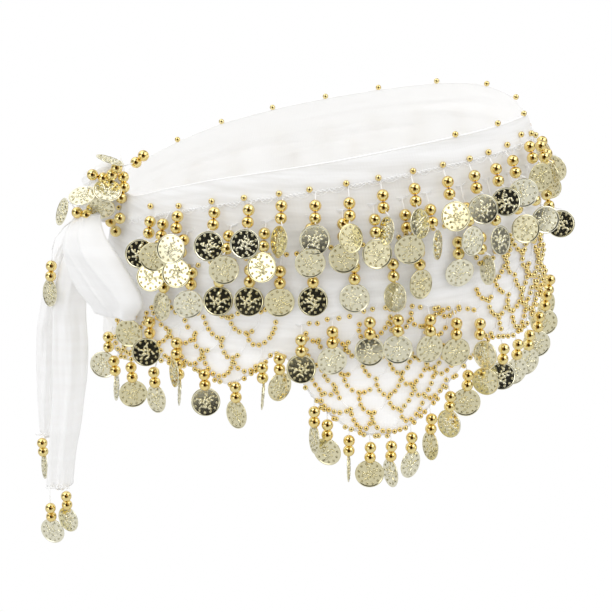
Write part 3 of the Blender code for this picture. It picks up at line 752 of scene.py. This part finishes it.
# The edging round that line: a zigzag of white thread sewn through the band, a small gold bead sewn on above
# each strand, and others that stand along the rim.
ZIGZAG_START = 207.0
ZIGZAG_STEP = 2.22
ZIGZAG_COUNT = 66
ZIGZAG_HEIGHT = 3.6
SEWN_ABOVE = (  # angle, drop
    (198, 10.7), (219, 9.5), (230.5, 12.8), (241, 13.3), (250, 14.0), (259, 14.3), (266.5, 14.5),
    (275.5, 14.5), (283.5, 14.8), (292.5, 15.0), (301, 15.0), (309.5, 15.0), (316.5, 14.0), (325, 13.0),
    (334, 10.0), (343, 12.0), (352, 14.0),
)
ALONG_RIM = (14, 32, 52.5, 72, 88.5, 105, 122, 139, 306.5, 323.5, 342.5)  # angles
edging_gold = Heap(small_gold)
edging = Heap(cotton)
for step in range(ZIGZAG_COUNT):
    angle = ZIGZAG_START + ZIGZAG_STEP * step + chance.uniform(-0.4, 0.4)
    span = np.linspace(0.0, 1.0, 8)
    bend = np.sin(math.pi * span)
    rise = np.where(step % 2, span, 1.0 - span) + 0.25 * bend
    run = angle + (ZIGZAG_STEP + chance.uniform(0.0, 0.8)) * span
    edging.add(tube(on_cloth(run, WAIST_LINE - 1.0 + ZIGZAG_HEIGHT * rise, 0.9 + 0.5 * bend), 0.26, 4))
for angle, drop in SEWN_ABOVE:
    add_small_bead(edging_gold, on_cloth(angle, drop, 1.6))
for angle in ALONG_RIM:
    add_small_bead(edging_gold, on_cloth(angle, -1.6, 0.0))
edging_gold.piece("edging_beads", "gold_trim")
edging.piece("edging_thread", "white_thread")

# The second and third rows, lower on the cloth: like strands, each tacked to the chiffon by a few cotton
# stitches. Between those of the third row small gold beads are sewn on.
SECOND_LINE = 31.5
SECOND_OUTS = (5.0, 6.0, 9.6, 4.0)
SECOND_ROW = (  # as in WAIST_ROW, and so are the next rows
    (226, 37, -20, -7), (234, 36, -14, -7), (247, 37, -20, 6), (256, 38, 8, -8), (267, 39, -4, 6),
    (274.5, 39, 2, 1), (282, 40, -3, -8), (289.5, 41, 10, 6), (296, 41, -50), (306, 45, -11),
    (315, 50, -9), (324.5, 48, 36, -4), (335, 48, 50, -7), (349, 57, 85, -11),
)
THIRD_LINE = 54.0
THIRD_OUTS = (5.0, 5.0, 3.8, 7.0)
THIRD_ROW = (
    (229, 59, 20), (237.4, 59, -34, 3), (245.2, 59, -22, -12), (252.8, 61, -14, -3), (260, 64, -10, 4),
    (267.6, 66, -4, -4), (277, 68, 12, 4), (286, 71, 58), (292.5, 67, -23), (303, 66, 8, 3), (310, 67, 98),
)
row_of_strands("second_strands", SECOND_ROW, lambda angle: SECOND_LINE + 0.0 * angle, SECOND_OUTS, 0.9,
               sewn=False)
row_of_strands("third_strands", THIRD_ROW, lambda angle: THIRD_LINE + 0.0 * angle, THIRD_OUTS, 0.9)

# The arched row over the net of the middle tongue: strands tacked on along an arch, with small gold beads
# between them, which covers the net's upper edge.
ARCH_OUTS = (6.4, 6.4, 5.0, 8.0)
ARCH = ((262, 104), (272, 101), (280, 99), (288, 101), (295, 106), (302, 112), (312, 118))
ARCH_ROW = (
    (265, 112, -4, -8.5), (272, 109, -8, 2), (280.5, 107, 6, -7), (287, 109, 14, -5), (295, 114, -6),
    (302, 121, 8), (309, 126, 74),
)
ARCH_ANGLES, ARCH_DROPS = zip(*ARCH)
row_of_strands("arch_strands", ARCH_ROW, lambda angle: np.interp(angle, ARCH_ANGLES, ARCH_DROPS),
               ARCH_OUTS, 2.0)

# The row along the hem: strands tacked to its rolled edge, with small gold beads between them, so that the
# coins hang free below the tongues.
HEM_OUTS = (5.2, 4.6, 3.6, 1.0)
HEM_BELOW = 7.0
HEM_ROW = (  # angle, turn of the coin, how much higher than the rest it hangs, lean of the coin
    (208, 40, 3), (217, -52, 3), (226, 10, 0), (234, 55, 9), (241.5, -26, 8, -11), (249.5, 30, 5),
    (256, 78, 6), (260, -48, 5), (268, 70, 0), (271, 24, 0), (276, -80, 0), (281, 10, 0, -6), (286, 74, 0),
    (291, -30, 0), (296, 82, 0), (301, 66, 0), (306, 28, 0, -7), (312, 60, 0), (318, 44, 0, -12),
    (324, 18, 0), (330, 26, 0), (336, 56, 0), (343, 64, 0), (350, 30, 0),
)
hem_strands = [(angle, float(hem_drop(angle)) + HEM_BELOW - higher, turn, *lean)
               for angle, turn, higher, *lean in HEM_ROW]
row_of_strands("hem_strands", hem_strands, lambda angle: hem_drop(angle) - 1.2, HEM_OUTS, 0.7)

# Four strands sewn on beside the bow, out of the rows, each on its own thread. They are made as the others
# are, and hang between the second row and the hem.
BESIDE_BOW = (  # angle, drop where it is sewn on, drop of the upper bead, turn and lean of the coin
    (204, 96, 103, -50, -4), (217, 70, 77, -28, -3), (224.5, 82, 91, -42, -12), (233.5, 98, 107, 40, -4),
)
beside_gold, beside_thread = empty_heaps()
for angle, sewn_on, drop, turn, lean in BESIDE_BOW:
    hang(beside_gold, beside_thread, on_cloth, out_of(angle), angle, sewn_on, drop, turn, THIRD_OUTS, lean)
beside_gold.piece("beside_bow_beads_and_coins", "gold_trim")
beside_thread.piece("beside_bow_thread", "white_thread")

# The same rows round the back, made and sewn on as those at the front are, with the coins turned by chance
# as they hang.
BACK_ROWS = (  # name, first angle, last angle, count, drop of the upper bead, drop of the line, outs
    ("waist_strands_back", 4.0, 158.0, 12, 24.0, 14.0, WAIST_OUTS),
    ("second_strands_back", 10.0, 150.0, 9, 44.0, 32.0, SECOND_OUTS),
    ("third_strands_back", 16.0, 142.0, 8, 68.0, 56.0, THIRD_OUTS),
)
BACK_HEM_FIRST, BACK_HEM_LAST, BACK_HEM_COUNT = 4.0, 154.0, 15
turns = random.Random(7)
for name, first, last, count, drop, line, outs in BACK_ROWS:
    pitch = (last - first) / (count - 1)
    strands = [(first + pitch * k, drop + turns.uniform(-1.5, 1.5), turns.uniform(-60.0, 60.0))
               for k in range(count)]
    row_of_strands(name, strands, lambda angle: line + 0.0 * angle, outs, 0.9, name == "waist_strands_back",
                   name == "third_strands_back")
strands = []
for k in range(BACK_HEM_COUNT):
    angle = BACK_HEM_FIRST + (BACK_HEM_LAST - BACK_HEM_FIRST) / (BACK_HEM_COUNT - 1) * k
    strands.append((angle, float(hem_drop(angle)) + HEM_BELOW, turns.uniform(-70.0, 70.0)))
row_of_strands("hem_strands_back", strands, lambda angle: hem_drop(angle) - 1.2, HEM_OUTS, 0.7)

# The nets over the tongues: white thread crocheted in rows of hanging loops, each caught at the bottoms of
# the row above, and sewn down on the chiffon. Small gold beads are strung along the loops, on some only part
# of the way.
NETS = (  # name, first angle, last angle, loops across, rows, top drop, hem margin
    ("net_beside_bow", 206, 222, 3, 3, 84, 3),
    ("net_left", 223, 259, 5, 4, 78, 4),
    ("net_centre", 266, 304, 6, 6, 108, 4),
    ("net_right", 309, 345, 5, 5, 74, 4),
    ("net_back_right", 2, 36, 5, 4, 78, 4),
    ("net_back", 56, 84, 5, 4, 84, 4),
    ("net_back_left", 98, 130, 5, 5, 92, 4),
)
NET_LEAST = 22.0
NET_SPACE = 4.3
NET_THREAD_RADIUS = 0.42
STRUNG_SHARES = (1.0, 1.0, 0.85, 0.6, 0.4)  # how much of a loop has beads, drawn by chance
LOOP_STEPS = 16


def net_drop(angle, top, margin, level):
    bottom = hem_drop(angle) - margin
    start = np.minimum(top, bottom - NET_LEAST)
    return start + (bottom - start) * level


for name, first, last, across, down, top, margin in NETS:
    gold = Heap(small_gold)
    thread = Heap(cotton)
    pitch = (last - first) / across
    joints = []
    for r in range(down + 1):
        count = across + 1 - r % 2
        angles = first + (np.arange(count) + 0.5 * (r % 2)) * pitch
        angles = angles + np.array([chance.uniform(-0.16, 0.16) for _ in range(count)]) * pitch
        drops = net_drop(angles, top, margin, r / down)
        drops = drops + np.array([chance.uniform(-1.3, 1.3) for _ in range(count)])
        joints.append((np.clip(angles, first, last), drops))
    for r in range(down):
        angles, drops = joints[r]
        lower_angles, lower_drops = joints[r + 1]
        for c in range(len(angles) - 1):
            below = c if r % 2 == 0 else c + 1
            t = np.linspace(0.0, math.pi, LOOP_STEPS)
            swing = (1.0 - np.cos(t)) / 2.0
            depth = lower_drops[below] - (drops[c] + drops[c + 1]) / 2.0
            side = lower_angles[below] - (angles[c] + angles[c + 1]) / 2.0
            path = angles[c] + (angles[c + 1] - angles[c]) * swing + side * np.sin(t)
            fall = drops[c] + (drops[c + 1] - drops[c]) * swing + depth * np.sin(t)
            out = 0.8 + 0.5 * np.sin(t) + 0.15 * np.sin(9.0 * t + c)
            thread.add(tube(on_cloth(path, fall, out), NET_THREAD_RADIUS))
            steps = np.arange(LOOP_STEPS)
            laid = on_cloth(path, fall)
            runs = np.concatenate(((0.0,), np.cumsum(np.linalg.norm(np.diff(laid, axis=0), axis=1)))) / MM
            at = chance.uniform(0.0, 2.0)
            stop = runs[-1] * chance.choice(STRUNG_SHARES)
            while at < stop:
                step = np.interp(at, runs, steps)
                place = on_cloth(np.interp(step, steps, path), np.interp(step, steps, fall), 1.7)
                add_small_bead(gold, place, NET_BEAD / SMALL_BEAD)
                at += NET_SPACE * chance.uniform(0.85, 1.15)
    net_thread = thread.piece(name + "_thread", "white_thread")
    if name != "net_beside_bow":
        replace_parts(net_thread, name)
    gold.piece(name + "_beads", "gold_trim")

# The knot: the two ends of the same chiffon, tied over each other and drawn into a rounded lump. The band
# wraps across it in pleats.
KNOT_ANGLE = 190.0
KNOT_DROP = 6.0
KNOT_HALF_ANGLE = 8.5
KNOT_RISE = 31.0
KNOT_FALL = 20.0
KNOT_BASE = 0.6
KNOT_DOME = 28.0
KNOT_WRAP = 1.6
KNOT_ROUND = 2.2
KNOT_SHOULDER = 0.62
KNOT_CELLS = 64


def knot_height(u, v):
    """How far the knot stands out from the cloth, with the band's wraps and their pleats across it."""
    dome = np.clip(1.0 - np.abs(u) ** KNOT_ROUND - np.abs(v) ** KNOT_ROUND, 0.0, 1.0) ** KNOT_SHOULDER
    lean = 4.7 * u + 9.0 * v
    wraps = np.sin(lean) - 1.6 * np.exp(-((v - 0.55 * u - 0.25) / 0.10) ** 2)
    wraps = wraps - 1.4 * np.exp(-((v + 0.8 * u + 0.45) / 0.09) ** 2)
    pleats = 0.45 * np.sin(2.7 * lean + 1.8 * np.sin(2.0 * u)) + 0.25 * np.sin(5.1 * lean + 3.0 * v)
    return KNOT_BASE + (KNOT_DOME + KNOT_WRAP * (wraps + pleats)) * dome


sweep = np.sin(math.pi * (np.arange(KNOT_CELLS + 1) / KNOT_CELLS - 0.5))
square_v, square_u = np.meshgrid(sweep, sweep, indexing="ij")
reach = np.maximum(np.abs(square_u), np.abs(square_v))
norm = (np.abs(square_u) ** KNOT_ROUND + np.abs(square_v) ** KNOT_ROUND) ** (1.0 / KNOT_ROUND) + 1e-9
knot_u, knot_v = square_u * reach / norm, square_v * reach / norm
knot_drops = KNOT_DROP + np.where(knot_v > 0.0, KNOT_FALL, KNOT_RISE) * knot_v
knot_angles = KNOT_ANGLE + KNOT_HALF_ANGLE * knot_u
knot_out = knot_height(knot_u, knot_v)
knot_back = 0.4 - 0.16 * (knot_out - KNOT_BASE) * np.clip(-knot_drops / 12.0, 0.0, 1.0)
knot = shell("tied_knot", on_cloth(knot_angles, knot_drops, knot_out),
             on_cloth(knot_angles, knot_drops, knot_back), painted_glow_bow_chiffon)
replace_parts(knot, "knot")

# The strands that were tied in with the ends: they lie over the knot's face in a heap, the coins tipped this
# way and that. Two beads run on from it up over the rim, and three lie on the cloth beside it.
FORWARD = np.array((0.0, -1.0, 0.0))
HEAP_BEADS = (  # x, y, z
    (-160.7, -40, -24.2), (-153.5, -38.5, -27.0), (-147.0, -40.5, -24.0), (-139.6, -37.5, -26.4),
    (-143.3, -42, -18.8), (-155.5, -41, -33.5), (-139.3, -38.5, -33.6), (-141.4, -40, -41.0),
    (-172.1, -45, -50.2), (-165.4, -46, -51.6), (-131.5, -27, -18.6), (-126.0, -28.5, -13.4),
)
HEAP_ON_CLOTH = ((195.0, 22.5), (200.8, 26.5), (204.5, 15.5))  # angle, drop
HEAP_RUNS = ((8, 0, 5), (9, 5, 1, 2), (7, 6, 3), (3, 4, 10, 11))  # places in HEAP_BEADS
HEAP_STRAY = ((-172.1, -45, -50.2), (-176.0, -41.5, -45.0), (-180.0, -39.5, -43.6))
HEAP_COINS = (  # x, y, z, facing x, y, z, turn in its own plane
    (-167.1, -48, -37.0, -0.12, -0.42, 0.90, 10), (-149.8, -47.5, -33.4, 0.16, -0.55, 0.82, 60),
    (-155.5, -44, -47.5, 0.10, -0.86, -0.50, 130), (-148.0, -40, -13.6, 0.34, 0.06, 0.94, 200),
    (-184.0, -38, -51.5, -0.84, -0.42, 0.36, 80),
)
knot_gold, knot_thread = empty_heaps()
for place in HEAP_BEADS:
    add_large_bead(knot_gold, np.array(place) * MM)
for run in HEAP_RUNS:
    knot_thread.add(tube(np.array([HEAP_BEADS[k] for k in run]) * MM, THREAD_RADIUS))
knot_thread.add(tube(np.array(HEAP_STRAY) * MM, THREAD_RADIUS))
for angle, drop in HEAP_ON_CLOTH:
    add_large_bead(knot_gold, on_cloth(angle, drop, 4.6))
for x, y, z, *facing, turn in HEAP_COINS:
    deep = np.array(facing) / np.linalg.norm(facing)
    wide = np.cross(deep, (0.0, 0.0, 1.0))
    wide = wide / np.linalg.norm(wide)
    rise = np.cross(wide, deep)
    spin = math.radians(turn)
    across = wide * math.cos(spin) + rise * math.sin(spin)
    up = rise * math.cos(spin) - wide * math.sin(spin)
    die = chance.randrange(COIN_DIES)
    add_coin(knot_gold, die, np.array((x, y, z)) * MM, across, deep, up, chance.random())
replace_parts(knot_gold.piece("knot_beads_and_coins", "gold_trim"), "knot_strands")
knot_thread.piece("knot_thread", "white_thread")

# The bow's loop: one band of the same chiffon, drawn out of the knot. It goes down at the front, turns at
# its tip and comes back up behind, and its edges curl towards each other.
LOOP = (  # height, middle x, half width, middle y of the front layer, distance to the back layer
    (-50.7, -165, 8, -41.7, 3), (-60, -169, 14, -58, 8), (-71, -168, 20, -65, 11),
    (-84, -161, 23.5, -71, 13), (-97, -154, 25, -76, 14), (-107, -149, 21, -78, 12),
    (-113, -148, 14, -77, 9),
)
LOOP_CLOTH = 0.9
LOOP_CROWN = 4.0
LOOP_TURN = math.radians(-30.0)
LOOP_ROWS = 60
LOOP_TIP_ROWS = 15
BAND_COLUMNS = 41
ROUNDING_REACH = 4.0
LOOP_TABLE = np.array(LOOP, float)
loop_across = np.array((math.cos(LOOP_TURN), math.sin(LOOP_TURN), 0.0))
loop_away = np.array((-math.sin(LOOP_TURN), math.cos(LOOP_TURN), 0.0))


def smooth_rows(table, place):
    """Values at places along a table of rows, rounded between them, by averaging nearby straight runs."""
    spots = table[:, 0]
    order = np.argsort(spots)
    total = 0.0
    for shift in (-1.0, -0.5, 0.0, 0.5, 1.0):
        at = np.clip(place + shift * ROUNDING_REACH, spots.min(), spots.max())
        total = total + np.stack([np.interp(at, spots[order], table[order, k])
                                  for k in range(1, table.shape[1])], axis=-1)
    return total / 5.0


def band(name, middle_grid, thick):
    """A band of cloth of one thickness about a grid of points in millimetres."""
    normal = np.cross(np.gradient(middle_grid, axis=0), np.gradient(middle_grid, axis=1))
    normal /= np.linalg.norm(normal, axis=-1, keepdims=True) + 1e-12
    return shell(name, (middle_grid + normal * thick / 2.0) * MM, (middle_grid - normal * thick / 2.0) * MM,
                 painted_glow_bow_chiffon)


front_heights = np.linspace(LOOP[0][0], LOOP[-1][0], LOOP_ROWS)
tip_turns = np.linspace(0.0, math.pi, LOOP_TIP_ROWS)[1:-1]
loop_stations = [(h, 0.0, 0.0) for h in front_heights]
loop_stations += [(LOOP[-1][0], (1.0 - math.cos(t)) / 2.0, math.sin(t)) for t in tip_turns]
loop_stations += [(h, 1.0, 0.0) for h in front_heights[::-1]]
u = np.linspace(-1.0, 1.0, BAND_COLUMNS)
loop_middle = []
for height, behind, dip in loop_stations:
    middle, half, front, apart = smooth_rows(LOOP_TABLE, height)
    crown = LOOP_CROWN * (1.0 - u * u) * (1.0 - 1.6 * behind)
    crease = 1.2 * np.sin(3.4 * u + height * 0.045) + 0.7 * np.sin(7.0 * u - height * 0.10 + 1.0)
    crease = crease - 1.5 * np.exp(-((u - 0.42 + (height + 84.0) * 0.011) / 0.10) ** 2)
    crease = crease - 1.2 * np.exp(-((u + 0.35 + (height + 84.0) * 0.016) / 0.09) ** 2)
    curl = 0.45 * apart * np.clip((np.abs(u) - 0.70) / 0.30, 0.0, 1.0) ** 2 * (1.0 - 2.0 * behind)
    spread = apart * behind - crown * min(1.0, apart / 12.0) + crease * (1.0 - 1.7 * behind) + curl
    place = np.array((middle, front, height - 3.5 * dip * (1.0 + 0.5 * math.sin(2.0 * height))))
    opened = 1.0 + (0.32 - 0.42 * behind) * np.clip(u, 0.0, 1.0) * min(1.0, (-54.0 - height) / 25.0 + 0.3)
    loop_middle.append(place + loop_across * (half * u * opened)[:, None] + loop_away * spread[:, None])
bow = band("bow_loop_cloth", np.array(loop_middle), LOOP_CLOTH)
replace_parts(bow, "bow_loop")

# The two tails: the ends of the same chiffon, which hang from the knot, gathered into long soft pleats and
# drawn in a little where strands are sewn to them.
TAILS = (  # name, flat size, phase and depth of the pleats, rows of (height, middle x, middle y, half width)
    ("tail_front", (0.035, 0.21), 0.4, 1.1, (
        (-62.7, -168, -31, 8), (-90, -176, -39, 11), (-120, -183, -41, 12), (-150, -184, -41, 12.5),
        (-180, -186, -41, 12.5), (-210, -190, -41, 11), (-240, -195, -41, 10), (-268, -199, -41, 9.5),
    )),
    ("tail_back", (0.028, 0.18), 2.1, 2.8, (
        (-61.6, -172, -21, 6), (-90, -187, -13, 9), (-120, -197, -11, 9.5), (-150, -204, -11, 10),
        (-180, -206, -11, 10), (-210, -208.5, -11, 9), (-238, -210, -11, 7),
    )),
)
TAIL_CLOTH = 0.8
TAIL_ROWS = 120
for name, flat, phase, fold, rows in TAILS:
    table = np.array(rows, float)
    heights = np.linspace(table[0, 0], table[-1, 0], TAIL_ROWS)
    middle_grid = []
    for height in heights:
        middle, depth, half = smooth_rows(table, height)
        drift = 0.9 * math.sin(height * 0.031 + phase)
        pleat = fold * np.sin(u * 4.6 + phase + height * 0.012)
        pleat = pleat + 0.3 * fold * np.sin(u * 9.5 - height * 0.045 + phase * 2.0 + drift)
        pleat = pleat + 0.12 * fold * np.sin(u * 19.0 + height * 0.07 + phase)
        gather = np.exp(-(height - table[-1, 0]) / 9.0)
        pleat = pleat + gather * 1.3 * np.sin(u * 13.0 + phase)
        curl = 3.0 * np.clip((np.abs(u) - 0.8) / 0.2, 0.0, 1.0) ** 2
        curl = curl + 5.5 * np.clip((u - 0.15) / 0.85, 0.0, 1.0) ** 1.5
        reach = half * (u - 0.05 * np.sin(math.pi * u)) * (1.0 + 0.03 * math.sin(height * 0.11 + phase))
        middle_grid.append(np.stack((middle + reach, depth + pleat + curl * 0.6,
                                     np.full(u.shape, height) - 1.5 * np.cos(u * 2.0) * (height < -200)),
                                    axis=-1))
    tail = band(name + "_cloth", np.array(middle_grid), TAIL_CLOTH)
    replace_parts(tail, name)

# The strands sewn to the ends of the two tails with a line of cotton stitches: two on the front tail and one
# on the rear one, each two beads and a coin.
TASSELS = (  # name, row of TAILS, strands of (place across, drop, turn)
    ("tassel_front", 0, ((-6.0, 14.0, 20.0), (6.5, 4.0, 34.0))),
    ("tassel_back", 1, ((-4.0, 4.0, 68.0),)),
)
TASSEL_FRONT = 3.4
TASSEL_OUTS = (3.0, 2.0, 1.0, 0.0)
TASSEL_START = -2.0
for name, which, strands in TASSELS:
    height, middle, depth, _ = TAILS[which][-1][-1]
    gold, thread = empty_heaps()

    def below_tail(place, drop):
        return np.array((middle + place, depth - TASSEL_FRONT, height - drop)) * MM

    for place, drop, turn in strands:
        hang(gold, thread, below_tail, FORWARD, place, TASSEL_START, drop, turn, TASSEL_OUTS)
    stitch = [below_tail(place, TASSEL_START + 0.6 * math.sin(place * 3.0))
              for place in np.arange(-9.0, 9.5, 0.5)]
    thread.add(tube(np.array(stitch) + np.array((0.0, -0.4 * MM, 0.0)), 0.5))
    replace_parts(gold.piece(name + "_beads_and_coins", "gold_trim"), name)
    thread.piece(name + "_thread", "white_thread")

# One more strand like them, on a longer cotton thread that is tied in under the knot, so that its coin hangs
# beside the front tail.
BEHIND_TAIL = (-193.0, -37.0, -83.0)
BEHIND_SLANT = 0.12
BEHIND_LEAD = (  # x, y, z
    (-174.0, -31.0, -57.0), (-183.0, -36.5, -63.0), (-190.0, -38.0, -71.0), (-192.5, -38.2, -79.2),
)
behind_gold, behind_thread = empty_heaps()


def behind_tail(place, drop):
    x, y, z = BEHIND_TAIL
    return np.array((x + place - BEHIND_SLANT * drop, y, z - drop)) * MM


hang(behind_gold, behind_thread, behind_tail, FORWARD, 0.0, -4.0, 9.0, 52.0, (1.0, 1.0, 1.0, 0.0), -4.0)
behind_thread.add(tube(np.array(BEHIND_LEAD) * MM, FINE_THREAD_RADIUS))
behind_gold.piece("behind_tail_beads_and_coin", "gold_trim")
behind_thread.piece("behind_tail_thread", "white_thread")
